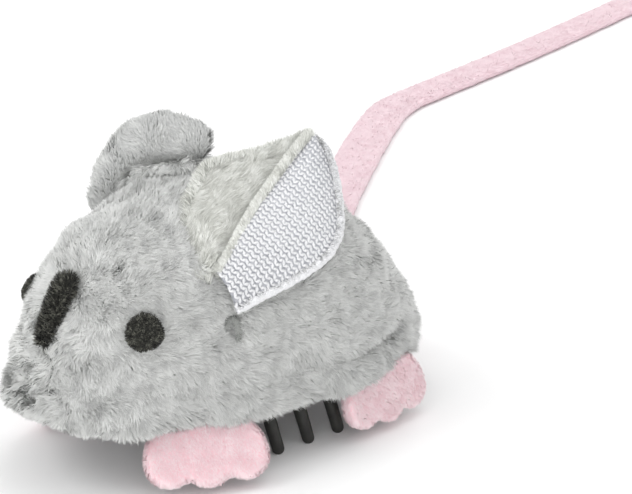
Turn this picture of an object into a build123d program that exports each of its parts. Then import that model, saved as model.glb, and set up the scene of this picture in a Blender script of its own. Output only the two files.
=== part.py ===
from build123d import *
import math
import os

# Plush cat-toy mouse on a battery vibration drive.  Millimetres.
# +Z up, nose towards -Y, tail towards +Y, the mouse's left side is +X.
# Origin: on the surface that the rubber legs stand on, below the middle of the
# mouse without its tail.

# ---------------------------------------------------------------- driving dims
HEM_Z = 11.0            # lower edge of the plush cover
SKIN_T = 1.6            # plush backing with the roots of its pile
SEC_N = 2.6             # roundness of the cover's cross sections
# cover sections: station along Y, half width at the hem, ridge height, and how far
# the hem lifts there above HEM_Z: over the paws a little, at the muzzle the most
SECTIONS = [
    (-40.8, 4.2, 17.4, 3.40), (-38.9, 7.0, 19.6, 3.00), (-36.8, 9.3, 22.0, 2.50), (-34.3, 11.1, 24.9, 1.90),
    (-31.5, 13.1, 30.3, 1.30), (-28.2, 14.9, 36.4, 0.95), (-23.5, 16.9, 41.2, 1.05), (-14.0, 19.2, 45.2, 0.85),
    (-2.0, 20.7, 47.6, 0.15), (10.0, 21.8, 46.8, 0.15), (20.0, 21.2, 42.6, 0.30), (29.0, 18.0, 34.2, 0.45),
    (35.5, 14.0, 26.2, 0.50), (39.3, 10.2, 19.9, 0.60), (40.8, 6.6, 15.2, 0.65),
]

LEG_N = 5               # rubber legs each side
LEG_PITCH = 6.7
LEG_Y0 = -7.0           # first leg's root
LEG_X = 15.2            # leg root, off the centre line
LEG_Z = 10.95           # leg root height, the flexing point
LEG_TIP_DX = 1.3        # splay of the tip
LEG_TIP_DY = 2.35       # rearward lean of the tip
LEG_R_ROOT = 1.22
LEG_R_TIP = 1.08
TIP_FLAT = 0.18         # how far the round tip is cut back to its small flat
BEAD_R = 1.70           # moulded bead at the root
BEAD_GAP = 0.05
RAIL_X = (13.2, 17.2)
RAIL_Z = (9.2, 13.2)
RAIL_Y = (-9.6, 22.6)

FLOOR_Z = 8.6           # underside of the chassis tray
FLOOR_T = 1.6
SPLIT_Z = 15.2          # joint between chassis tray and upper housing
TOP_Z = 27.0
WALL = 1.4

MOTOR_Z = 19.5
MOTOR_R = 4.0
MOTOR_Y = (-13.0, 3.0)
SHAFT_R = 0.5
WEIGHT_R = 4.9
WEIGHT_Y = (-20.0, -16.0)

CELL_R = 5.8
CELL_H = 5.4
CELL_Y = 12.0
CELL_Z0 = 11.7
DOOR_X = 8.5
DOOR_Y = (3.2, 24.2)
DOOR_T = 1.3
DOOR_SCREW_Y = 21.4
SWITCH_Y = 27.2
SLIDER_TRAVEL = 2.0

TAIL_W = 10.2           # fleece ribbon
TAIL_T = 2.0
TAIL_PTS = [
    (0.68, 35.98, 9.75), (-10.0, 43.4, 8.1), (-26.4, 54.8, 1.0), (-43.0, 66.4, 1.0),
    (-62.0, 81.0, 1.0), (-90.0, 113.2, 1.0), (-107.0, 134.5, 1.0), (-117.2, 149.3, 1.0),
    (-120.6, 168.0, 1.0), (-127.7, 200.2, 1.0), (-138.2, 240.9, 1.0), (-147.0, 272.7, 1.0),
]

os.makedirs("parts", exist_ok=True)
PARTS = {}


def keep(name, shape):
    PARTS[name] = shape


def mirror_x(shape):
    return mirror(shape, about=Plane.YZ)


def box(x0, x1, y0, y1, z0, z1):
    return Pos((x0 + x1) / 2, (y0 + y1) / 2, (z0 + z1) / 2) * Box(x1 - x0, y1 - y0, z1 - z0)


def cyl(r, h, x, y, z):
    """Upright cylinder standing on z."""
    return Pos(x, y, z + h / 2) * Cylinder(r, h)


def cyl_y(r, y0, y1, x, z):
    return Pos(x, (y0 + y1) / 2, z) * Rot(90, 0, 0) * Cylinder(r, y1 - y0)


def plan(half, z0, z1):
    """Prism over a plan outline given by its right-hand half points (x, y)."""
    pts = [(x, y) for x, y in half] + [(-x, y) for x, y in reversed(half)]
    return Pos(0, 0, z0) * extrude(make_face(Polyline(*pts, close=True)), z1 - z0)


# ---------------------------------------------------------------- plush cover
def section(y, w, h, z0):
    t = min(1.0, max(0.0, (y + 30.0) / 20.0))
    n = SEC_N - 0.42 * (1.0 - t * t * (3.0 - 2.0 * t))      # the face is rounder across
    pts = []
    for i in range(17):
        t = math.pi * i / 16
        c, s = math.cos(t), math.sin(t)
        pts.append((
            math.copysign(w * abs(c) ** (2 / n), c) if abs(c) > 1e-9 else 0.0,
            z0 + (h - z0) * abs(s) ** (2 / n) if abs(s) > 1e-9 else z0,
        ))
    at = Plane(origin=(0, y, 0), x_dir=(1, 0, 0), z_dir=(0, -1, 0))
    arc = Spline(*pts)
    return at * make_face([arc, Line(pts[-1], pts[0])])


def body(inset, dz, cut=0.0):
    """The cover's volume, pulled in by inset, with its open side dz above the hem."""
    n = len(SECTIONS)
    faces = []
    for i, (y, w, h, rise) in enumerate(SECTIONS):
        if i == 0:
            y += inset
        if i == n - 1:
            y -= inset
        if inset and i in (1, n - 2):
            y += inset * 0.35 if i == 1 else -inset * 0.35
        faces.append(section(y, w - inset - cut, h - inset, HEM_Z + rise + dz))
    return loft(faces)


def below_hem(dz):
    """Everything under the line that runs dz above the hem."""
    faces = []
    for y, rise in [(-60.0, SECTIONS[0][3])] + [(y, r) for y, w, h, r in SECTIONS] + [(60.0, SECTIONS[-1][3])]:
        at = Plane(origin=(0, y, 0), x_dir=(1, 0, 0), z_dir=(0, -1, 0))
        top = HEM_Z + rise + dz
        faces.append(at * make_face(Polyline((-45, -20), (45, -20), (45, top), (-45, top), close=True)))
    return loft(faces, ruled=True)


outer = body(0.0, 0.0)
inner = body(SKIN_T, -1.0)
cover = outer - inner
keep("plush_cover", cover)

# ---------------------------------------------------------------- chassis tray
LOW = [(7.0, -27.0), (11.0, -23.0), (13.1, -10.0), (13.1, 23.0), (12.0, 28.0), (8.0, 31.5)]
RIM = [(7.0, -27.0), (11.0, -23.0), (13.4, -11.5), (17.3, -9.8), (17.3, 22.8), (12.6, 28.0), (8.0, 31.5)]
LOW_IN = [(6.2, -25.6), (9.7, -22.2), (11.7, -9.6), (11.7, 22.6), (10.8, 27.2), (7.3, 30.1)]
UP = [(7.0, -27.0), (11.0, -23.0), (13.4, -11.5), (15.0, 0.0), (15.0, 19.0), (12.6, 28.0), (8.0, 31.5)]
UP_IN = [(6.2, -25.6), (9.7, -22.2), (12.0, -11.2), (13.6, 0.3), (13.6, 18.6), (11.4, 27.0), (7.3, 30.1)]
SCREWS = [(6.6, -21.4), (-6.6, -21.4), (9.6, 26.6), (-9.6, 26.6)]

tray = plan(LOW, FLOOR_Z, RAIL_Z[1]) + plan(RIM, RAIL_Z[1], SPLIT_Z)
tray -= plan(LOW_IN, FLOOR_Z + FLOOR_T, SPLIT_Z + 1)
for x, y in SCREWS:
    tray += cyl(2.3, SPLIT_Z - FLOOR_Z - 0.8, x, y, FLOOR_Z + 0.8)
# motor saddle ribs
for y in (-11.0, -1.0):
    rib = box(-6.0, 6.0, y - 0.8, y + 0.8, FLOOR_Z + 1.0, MOTOR_Z) - cyl_y(MOTOR_R, y - 2, y + 2, 0, MOTOR_Z)
    tray += rib
# battery well
tray += cyl(7.2, 7.6, 0, CELL_Y, FLOOR_Z + 1.0)
tray -= cyl(6.05, 20.0, 0, CELL_Y, FLOOR_Z - 1)
# door recess and screw boss
tray -= box(-DOOR_X - 0.12, DOOR_X + 0.12, DOOR_Y[0] - 0.12, DOOR_Y[1] + 0.12, FLOOR_Z - 1, FLOOR_Z + DOOR_T + 0.05)
tray += cyl(2.0, 6.0, 0, DOOR_SCREW_Y, FLOOR_Z + DOOR_T + 0.05)
tray -= cyl(0.95, 9.0, 0, DOOR_SCREW_Y, FLOOR_Z - 1)
# slot for the switch lever
tray -= box(-2.6, 2.6, SWITCH_Y - 1.2, SWITCH_Y + 1.2, FLOOR_Z - 1, FLOOR_Z + FLOOR_T + 1)
for x, y in SCREWS:
    tray -= cyl(2.0, 2.3, x, y, FLOOR_Z - 1)
    tray -= cyl(1.05, 12.0, x, y, FLOOR_Z - 1)
# pegs that hold the leg strips
PEGS = [LEG_Y0 + 1.5 * LEG_PITCH, LEG_Y0 + 2.5 * LEG_PITCH]
for s in (1, -1):
    for y in PEGS:
        tray += cyl(0.7, 2.6, s * (LEG_X + 1.0), y, RAIL_Z[1] - 2.5)
keep("chassis_tray", tray)

# ---------------------------------------------------------------- upper housing
dome = plan(UP, SPLIT_Z, TOP_Z)
top_edges = dome.edges().group_by(Axis.Z)[-1]
dome = fillet(top_edges, 2.2)
dome -= plan(UP_IN, SPLIT_Z - 1, TOP_Z - WALL)
for x, y in SCREWS:
    dome += cyl(2.2, TOP_Z - WALL - SPLIT_Z + 0.3, x, y, SPLIT_Z)
    dome -= cyl(0.85, 7.0, x, y, SPLIT_Z - 1)
keep("upper_housing", dome)

# four identical screws through the tray into the upper housing
screws = []
for x, y in SCREWS:
    s = cyl(1.9, 1.1, x, y, FLOOR_Z + 0.15) + cyl(0.85, 10.2, x, y, FLOOR_Z + 1.2)
    s -= box(x - 1.3, x + 1.3, y - 0.22, y + 0.22, FLOOR_Z, FLOOR_Z + 0.6)
    s -= box(x - 0.22, x + 0.22, y - 1.3, y + 1.3, FLOOR_Z, FLOOR_Z + 0.6)
    screws.append(s)
keep("housing_screws", Compound(children=screws))

# ---------------------------------------------------------------- leg strips and legs
def rail():
    r = box(*RAIL_X, *RAIL_Y, *RAIL_Z)
    r = fillet(r.edges().filter_by(Axis.Z), 1.6)
    for i in range(LEG_N):
        y = LEG_Y0 + i * LEG_PITCH
        r -= Pos(LEG_X, y, LEG_Z) * Sphere(BEAD_R + BEAD_GAP)
        r -= box(LEG_X - 1.42, LEG_X + 1.66, y - 1.30, y + 2.12, RAIL_Z[0] - 1, LEG_Z)
    for y in PEGS:
        r -= cyl(0.7, 2.6, LEG_X + 1.0, y, RAIL_Z[1] - 2.5)
    return r


rail_l = rail()
keep("leg_strip_left", rail_l)
keep("leg_strip_right", mirror_x(rail_l))

LEG_NAMES = []
for i in range(LEG_N):
    y = LEG_Y0 + i * LEG_PITCH
    root = Vector(LEG_X, y, LEG_Z)
    # centre of the rounded tip, just low enough for a small flat at z = 0
    tip = Vector(LEG_X + LEG_TIP_DX, y + LEG_TIP_DY, LEG_R_TIP - TIP_FLAT)
    d = tip - root
    at = Plane(origin=root, z_dir=d)
    cone = at * Pos(0, 0, d.length / 2) * Cone(LEG_R_ROOT, LEG_R_TIP, d.length)
    leg = Pos(*root) * Sphere(BEAD_R) + cone + Pos(*tip) * Sphere(LEG_R_TIP)
    leg -= box(-60, 60, -80, 80, -3, 0)
    keep(f"leg_left_{i + 1}", leg)
    keep(f"leg_right_{i + 1}", mirror_x(leg))

# ---------------------------------------------------------------- motor
can = cyl_y(MOTOR_R, MOTOR_Y[0], MOTOR_Y[1], 0, MOTOR_Z)
can = fillet(can.edges().filter_by(GeomType.CIRCLE), 0.5)
can += cyl_y(1.5, MOTOR_Y[0] - 0.9, MOTOR_Y[0] + 0.5, 0, MOTOR_Z)
can -= cyl_y(SHAFT_R + 0.03, MOTOR_Y[0] - 3, MOTOR_Y[0] + 9.0, 0, MOTOR_Z)
can -= cyl_y(3.1, MOTOR_Y[1] - 1.2, MOTOR_Y[1] + 1, 0, MOTOR_Z)
keep("motor_can", can)
cap = cyl_y(3.1, MOTOR_Y[1] - 1.2, MOTOR_Y[1] + 0.4, 0, MOTOR_Z)
for s in (1, -1):
    cap += box(s * 1.9 - 0.5, s * 1.9 + 0.5, MOTOR_Y[1] + 0.2, MOTOR_Y[1] + 1.8, MOTOR_Z - 0.15, MOTOR_Z + 0.15)
keep("motor_end_cap", cap)
keep("motor_shaft", cyl_y(SHAFT_R, -21.0, MOTOR_Y[0] + 8.5, 0, MOTOR_Z))
w = cyl_y(WEIGHT_R, *WEIGHT_Y, 0, MOTOR_Z) - box(-6, 6, WEIGHT_Y[0] - 1, WEIGHT_Y[1] + 1, MOTOR_Z + 0.6, MOTOR_Z + 6)
w += cyl_y(1.5, *WEIGHT_Y, 0, MOTOR_Z)
w -= cyl_y(SHAFT_R, WEIGHT_Y[0] - 1, WEIGHT_Y[1] + 1, 0, MOTOR_Z)
keep("eccentric_weight", w)
clip = cyl_y(MOTOR_R + 0.9, -7.5, -3.5, 0, MOTOR_Z) - cyl_y(MOTOR_R, -8.5, -2.5, 0, MOTOR_Z)
clip -= box(-8, 8, -9, -2, MOTOR_Z - 8, MOTOR_Z)
for s in (1, -1):
    clip += box(min(s * 4.0, s * 4.9), max(s * 4.0, s * 4.9), -7.5, -3.5, FLOOR_Z + FLOOR_T, MOTOR_Z)
    clip += box(min(s * 4.0, s * 7.4), max(s * 4.0, s * 7.4), -7.5, -3.5, FLOOR_Z + FLOOR_T, FLOOR_Z + FLOOR_T + 0.9)
keep("motor_clip", clip)

# ---------------------------------------------------------------- battery
cells = []
for i in range(2):
    z = CELL_Z0 + i * CELL_H
    c = cyl(CELL_R, CELL_H - 0.65, 0, CELL_Y, z + 0.65)
    c = fillet(c.edges().filter_by(GeomType.CIRCLE), 0.3)
    c += cyl(4.6, 0.8, 0, CELL_Y, z)
    cells.append(c)
keep("button_cells", Compound(children=cells))
neg = cyl(4.3, 0.3, 0, CELL_Y, FLOOR_Z + DOOR_T + 0.1) - cyl(1.6, 3, 0, CELL_Y, FLOOR_Z)
for a in (0, 120, 240):
    arm = Pos(0, CELL_Y, FLOOR_Z + DOOR_T + 0.1) * Rot(0, 0, a) * Pos(3.0, 0, 0.85) * Box(1.4, 1.2, 1.7)
    neg += arm
keep("contact_negative", neg)
top_cell = CELL_Z0 + 2 * CELL_H
pos_c = box(-2.0, 2.0, CELL_Y - 3.5, CELL_Y + 9.0, top_cell, top_cell + 0.35)
pos_c += box(-2.0, 2.0, CELL_Y + 8.65, CELL_Y + 9.0, 16.95, top_cell + 0.35)
keep("contact_positive", pos_c)

door = box(-DOOR_X, DOOR_X, *DOOR_Y, FLOOR_Z, FLOOR_Z + DOOR_T)
door = fillet(door.edges().filter_by(Axis.Z), 0.8)
for k in range(5):
    yy = 8.2 + 1.9 * k
    door -= box(-4.5, 4.5, yy - 0.35, yy + 0.35, FLOOR_Z - 1, FLOOR_Z + 0.35)
door -= cyl(1.15, 4, 0, DOOR_SCREW_Y, FLOOR_Z - 1)
door -= cyl(2.05, 1.75, 0, DOOR_SCREW_Y, FLOOR_Z - 1)
keep("battery_door", door)
ds = cyl(1.9, 0.65, 0, DOOR_SCREW_Y, FLOOR_Z + 0.05) + cyl(0.9, 5.6, 0, DOOR_SCREW_Y, FLOOR_Z + 0.6)
ds -= box(-1.3, 1.3, DOOR_SCREW_Y - 0.2, DOOR_SCREW_Y + 0.2, FLOOR_Z - 0.1, FLOOR_Z + 0.42)
ds -= box(-0.2, 0.2, DOOR_SCREW_Y - 1.3, DOOR_SCREW_Y + 1.3, FLOOR_Z - 0.1, FLOOR_Z + 0.42)
keep("door_screw", ds)

# ---------------------------------------------------------------- board, switch, leads
PCB_Z = 14.0
board = box(-7.0, 7.0, 19.6, 29.8, PCB_Z, PCB_Z + 1.0)
board -= cyl(2.1, 3, 0, DOOR_SCREW_Y, PCB_Z - 1)
board -= cyl(7.5, 6, 0, CELL_Y, PCB_Z - 1)
for s in (1, -1):
    board -= cyl(2.45, 6, s * 9.6, 26.6, PCB_Z - 1)
    board += cyl(0.7, 0.5, s * 5.2, 23.2, PCB_Z + 1.0)
keep("circuit_board", board)
sw = box(-4.3, 4.3, SWITCH_Y - 1.9, SWITCH_Y + 1.9, FLOOR_Z + FLOOR_T + 0.05, PCB_Z)
sw -= box(-2.35, 2.35, SWITCH_Y - 0.95, SWITCH_Y + 0.95, FLOOR_Z, FLOOR_Z + FLOOR_T + 2.2)
keep("switch_body", sw)
sl = box(-1.0 - SLIDER_TRAVEL / 2, 1.0 - SLIDER_TRAVEL / 2, SWITCH_Y - 0.8, SWITCH_Y + 0.8, FLOOR_Z - 0.7, FLOOR_Z + FLOOR_T + 1.6)
for k in (-1, 0, 1):
    xx = -SLIDER_TRAVEL / 2 + 0.6 * k
    sl -= box(xx - 0.12, xx + 0.12, SWITCH_Y - 2, SWITCH_Y + 2, FLOOR_Z - 1, FLOOR_Z - 0.45)
keep("switch_slider", sl)

for s, nm in ((1, "lead_positive"), (-1, "lead_negative")):
    pts = [(s * 1.9, MOTOR_Y[1] + 1.82, MOTOR_Z), (s * 1.9, MOTOR_Y[1] + 2.5, MOTOR_Z - 0.02), (s * 9.3, 8.6, 17.6),
           (s * 9.3, 16.6, 16.9), (s * 6.8, 21.4, 16.3), (s * 5.2, 22.6, 16.1)]
    path = FilletPolyline(*pts, radius=[0.5, 1.0, 1.0, 0.6])
    prof = Plane(origin=path @ 0, z_dir=path % 0) * Circle(0.42)
    keep(nm, sweep(prof, path))

# ---------------------------------------------------------------- base cloth and stuffing
hole = plan([(7.25, -27.3), (11.25, -23.2), (13.3, -10.4), (17.38, -9.9), (17.38, 22.9), (12.9, 28.1), (8.1, 31.7)], 5, 30)
base = (body(SKIN_T + 0.05, -1.0) & below_hem(1.05)) - below_hem(0.05)
base -= hole
keep("base_cloth", base)
fill = body(SKIN_T + 0.35, -1.0) - below_hem(1.4)
fill -= plan([(7.6, -27.6), (11.5, -23.5), (13.8, -12.0), (17.7, -10.2), (17.7, 23.2), (13.0, 28.4), (8.3, 31.9)], 5, TOP_Z + 0.4)
keep("fibre_stuffing", fill)

# ---------------------------------------------------------------- eyes and nose strip
def dome_on(center, normal, r, flat):
    at = Plane(origin=center, z_dir=normal)
    ball = Sphere(r)
    e = scale(ball, by=(1, 1, flat))
    return (at * e) - outer


keep("eye_left", dome_on((15.2, -24.5, 28.2), (0.80, -0.46, 0.38), 3.4, 0.62))
keep("eye_right", dome_on((-15.0, -24.4, 27.2), (-0.80, -0.46, 0.38), 3.4, 0.62))
n0, n1 = Vector(0.7, -34.0, 23.9), Vector(1.9, -28.8, 35.6)
nd = n1 - n0
strip = Pos(*n0) * Sphere(2.1) + Pos(*n1) * Sphere(2.1)
strip += Plane(origin=n0, z_dir=nd) * Pos(0, 0, nd.length / 2) * Cylinder(2.1, nd.length)
keep("nose_strip", strip - outer)

# ---------------------------------------------------------------- ears
def flap(origin, x_dir, normal, pts, t):
    pl = Plane(origin=origin, x_dir=x_dir, z_dir=normal)
    loc = []
    for p in pts:
        q = pl.to_local_coords(Vector(*p))
        loc.append((q.X, q.Y))
    f = make_face(Spline(*loc, periodic=True))
    e = extrude(f, t / 2, both=True)
    try:
        e = fillet(e.edges(), min(0.8, t * 0.35))
    except Exception:
        pass
    return (pl * e) - outer


ear_l = flap((13.2, 2.3, 43.2), (15.5, -6, -19.3), (0.695, -0.304, 0.652),
             [(18.2, -8.0, 28.7), (19.1, -1.4, 30.9), (20.1, 6.2, 33.3), (19.1, 13.1, 37.6), (14.9, 16.4, 43.6),
              (10.2, 17.6, 49.2), (7.2, 14.6, 50.4), (4.5, 6.3, 49.2), (2.2, -1.5, 48.3), (4.5, -8.75, 43.0),
              (8.4, -11.2, 37.7), (13.1, -9.2, 33.4)], 3.6)
keep("ear_left", ear_l)
ear_r = flap((-9, -3, 46), (-0.87, -0.45, -0.2), (-0.42, 0.88, -0.22),
             [(-16.8, -9.3, 33.6), (-19.4, -10.2, 37.2), (-19.5, -9.3, 41.2), (-18.2, -7.1, 47.4), (-15.4, -4.7, 51.7),
              (-9.6, -1.1, 54.2), (-3.8, 1.5, 53.3), (-1.6, 2.2, 51.4), (-2.4, 0.3, 45.4), (-7.0, -2.5, 43.0),
              (-11.5, -5.4, 40.0), (-14.4, -8.0, 35.6)], 2.6)
keep("ear_right", ear_r)

# ---------------------------------------------------------------- paws
def paw(origin, azimuth, slope, width, length, t):
    """Three-toed pad: local x across, local y down the slope from the hem."""
    r = width * 0.205
    palm = Polygon((-width * 0.40, 0), (width * 0.40, 0), (width * 0.47, -(length - r)), (-width * 0.47, -(length - r)), align=None)
    face = palm
    for k, drop in ((-1, 0.6), (0, 0.0), (1, 0.6)):
        face += Pos(k * width * 0.30, -(length - r) + drop - 0.4) * Circle(r)
    p = extrude(face, t / 2, both=True)
    try:
        p = fillet(p.edges(), t * 0.36)
    except Exception:
        pass
    a = math.radians(azimuth)
    nh = Vector(math.sin(a), -math.cos(a), 0)        # outward, on plan
    wdir = Vector(math.cos(a), math.sin(a), 0)       # along the pad's width
    sl_ = math.radians(slope)
    down = nh * math.cos(sl_) - Vector(0, 0, 1) * math.sin(sl_)
    pl = Plane(origin=origin, x_dir=wdir, z_dir=wdir.cross(down * -1))
    return pl * p


pf = paw((16.4, -14.2, 9.55), 66, 52, 21.0, 9.8, 3.2)
pr = paw((18.6, 23.0, 10.05), 97, 72, 20.0, 8.8, 3.0)
keep("paw_front_left", pf)
keep("paw_front_right", mirror_x(pf))
keep("paw_rear_left", pr)
keep("paw_rear_right", mirror_x(pr))

# ---------------------------------------------------------------- tail ribbon
radii = []
for a, b, c in zip(TAIL_PTS, TAIL_PTS[1:], TAIL_PTS[2:]):
    u, v = Vector(*b) - Vector(*a), Vector(*c) - Vector(*b)
    turn = u.get_angle(v)
    radii.append(0.45 * min(u.length, v.length) / math.tan(math.radians(turn) / 2))
    print("tail corner", b, "turn %.1f" % turn, "radius %.1f" % radii[-1])
runs = [(Vector(*b) - Vector(*a)).length for a, b in zip(TAIL_PTS, TAIL_PTS[1:])]
print("tail runs", [round(r, 1) for r in runs])
tail_path = FilletPolyline(*TAIL_PTS, radius=radii)
# the ribbon: a sloping stretch in one upright plane, then the flat stretch on the
# floor, each a straight-run-and-arc band of the ribbon's own section
A, B, C, D = (Vector(*p) for p in TAIL_PTS[:4])
ramp_dir = Vector(C.X - A.X, C.Y - A.Y, 0).normalized()
JOIN = (C + D) * 0.5
flat_s = (JOIN - A).dot(ramp_dir)


ramp_pts = [((p - A).dot(ramp_dir), p.Z) for p in (A, B, C)] + [(flat_s, C.Z)]
ramp_line = FilletPolyline(*ramp_pts, radius=radii[:2])
up = Plane(origin=(A.X, A.Y, 0), x_dir=ramp_dir, z_dir=ramp_dir.cross(Vector(0, 0, 1)))
ramp_2d = trace(ramp_line, TAIL_T)
flat_pts = [(JOIN.X, JOIN.Y)] + [p[:2] for p in TAIL_PTS[3:]]
flat_line = FilletPolyline(*flat_pts, radius=radii[2:])
flat_2d = trace(flat_line, TAIL_W)
tail = up * extrude(ramp_2d, TAIL_W / 2, both=True)
tail += extrude(flat_2d, TAIL_T)
print("tail length %.1f, volume %.1f, section x length %.1f" % (tail_path.length, tail.volume, TAIL_W * TAIL_T * tail_path.length))
keep("tail", tail)

# ---------------------------------------------------------------- write
lo, hi = [1e9] * 3, [-1e9] * 3
for name, shape in PARTS.items():
    bb = shape.bounding_box()
    if name != "tail":
        for k, (p, q) in enumerate(((bb.min.X, bb.max.X), (bb.min.Y, bb.max.Y), (bb.min.Z, bb.max.Z))):
            lo[k], hi[k] = min(lo[k], p), max(hi[k], q)
    export_step(shape, f"parts/{name}.step")
print("box without the tail", [round(v, 3) for v in lo], [round(v, 3) for v in hi])
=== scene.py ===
import math

import bpy
import numpy as np
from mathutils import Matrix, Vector
from mathutils.bvhtree import BVHTree
from mathutils.kdtree import KDTree


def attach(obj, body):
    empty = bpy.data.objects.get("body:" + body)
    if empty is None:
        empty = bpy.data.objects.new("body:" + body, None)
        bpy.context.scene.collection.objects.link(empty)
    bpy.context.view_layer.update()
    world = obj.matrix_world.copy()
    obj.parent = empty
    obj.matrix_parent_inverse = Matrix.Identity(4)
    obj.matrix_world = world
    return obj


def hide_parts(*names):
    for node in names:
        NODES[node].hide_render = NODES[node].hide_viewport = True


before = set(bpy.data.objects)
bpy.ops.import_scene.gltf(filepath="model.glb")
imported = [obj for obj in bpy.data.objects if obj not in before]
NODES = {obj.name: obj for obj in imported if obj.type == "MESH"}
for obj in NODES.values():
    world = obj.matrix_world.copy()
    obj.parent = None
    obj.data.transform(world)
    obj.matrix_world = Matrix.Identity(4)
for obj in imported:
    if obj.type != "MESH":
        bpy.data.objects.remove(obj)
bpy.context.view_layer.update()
COLL = bpy.context.scene.collection
MM = 0.001

# ------------------------------------------------------------------ camera
cam_data = bpy.data.cameras.new("camera")
cam_data.sensor_width = 36.0
cam_data.lens = 139.5
cam_data.clip_start, cam_data.clip_end = 0.02, 20.0
cam = bpy.data.objects.new("camera", cam_data)
COLL.objects.link(cam)
cam.location = Vector((0.30685, -0.23974, 0.17733))
cam.rotation_mode = "QUATERNION"
cam.rotation_quaternion = (Vector((0.00814, 0.01775, 0.03118)) - cam.location).to_track_quat("-Z", "Y")
bpy.context.scene.camera = cam


# ------------------------------------------------------------------ small tools
def norm(a):
    return a / np.maximum(np.linalg.norm(a, axis=-1, keepdims=True), 1e-12)


def sines(P, wave, seed, n=8):
    """A smooth random field of about unit variance. P and wave are in millimetres."""
    r = np.random.default_rng(seed)
    out = np.zeros(len(P))
    for _ in range(n):
        k = r.normal(size=3)
        k *= 2 * math.pi / (np.linalg.norm(k) * wave * r.uniform(0.7, 1.6))
        out += np.sin(P @ k + r.uniform(0, 6.283))
    return out / math.sqrt(n / 2)


def smooth(x, a, b):
    t = np.clip((np.asarray(x, float) - a) / (b - a), 0, 1)
    return t * t * (3 - 2 * t)


def mesh_object(name, verts_mm, faces, smooth_shade=True):
    me = bpy.data.meshes.new(name)
    me.from_pydata([tuple(v) for v in (np.asarray(verts_mm, float) * MM)], [], faces)
    me.validate()
    o = bpy.data.objects.new(name, me)
    COLL.objects.link(o)
    if smooth_shade:
        me.polygons.foreach_set("use_smooth", [True] * len(me.polygons))
    return o


def grid_faces(nu, nv, close_v=False, flip=False):
    f = []
    for i in range(nu - 1):
        for j in range(nv if close_v else nv - 1):
            k = (j + 1) % nv
            q = (i * nv + j, i * nv + k, (i + 1) * nv + k, (i + 1) * nv + j)
            f.append(q[::-1] if flip else q)
    return f


def surface_samples(me, per_mm2, seed):
    """Random points over a mesh, evenly by area, in millimetres, with their smooth normals."""
    me.calc_loop_triangles()
    n = len(me.loop_triangles)
    tri = np.zeros(n * 3, np.int32)
    me.loop_triangles.foreach_get("vertices", tri)
    tri = tri.reshape(-1, 3)
    co = np.zeros(len(me.vertices) * 3, np.float32)
    me.vertices.foreach_get("co", co)
    co = co.reshape(-1, 3).astype(float) / MM
    no = np.zeros(len(me.vertices) * 3, np.float32)
    me.vertices.foreach_get("normal", no)
    no = no.reshape(-1, 3).astype(float)
    a, b, c = co[tri[:, 0]], co[tri[:, 1]], co[tri[:, 2]]
    area = np.linalg.norm(np.cross(b - a, c - a), axis=1) / 2
    r = np.random.default_rng(seed)
    count = int(area.sum() * per_mm2)
    pick = r.choice(n, size=count, p=area / area.sum())
    u, v = r.random(count), r.random(count)
    over = u + v > 1
    u[over], v[over] = 1 - u[over], 1 - v[over]
    w = 1 - u - v
    P = a[pick] * w[:, None] + b[pick] * u[:, None] + c[pick] * v[:, None]
    t = tri[pick]
    N = norm(no[t[:, 0]] * w[:, None] + no[t[:, 1]] * u[:, None] + no[t[:, 2]] * v[:, None])
    return P, N


def tangent(F, N):
    return norm(F - N * np.sum(F * N, axis=1, keepdims=True))


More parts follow.
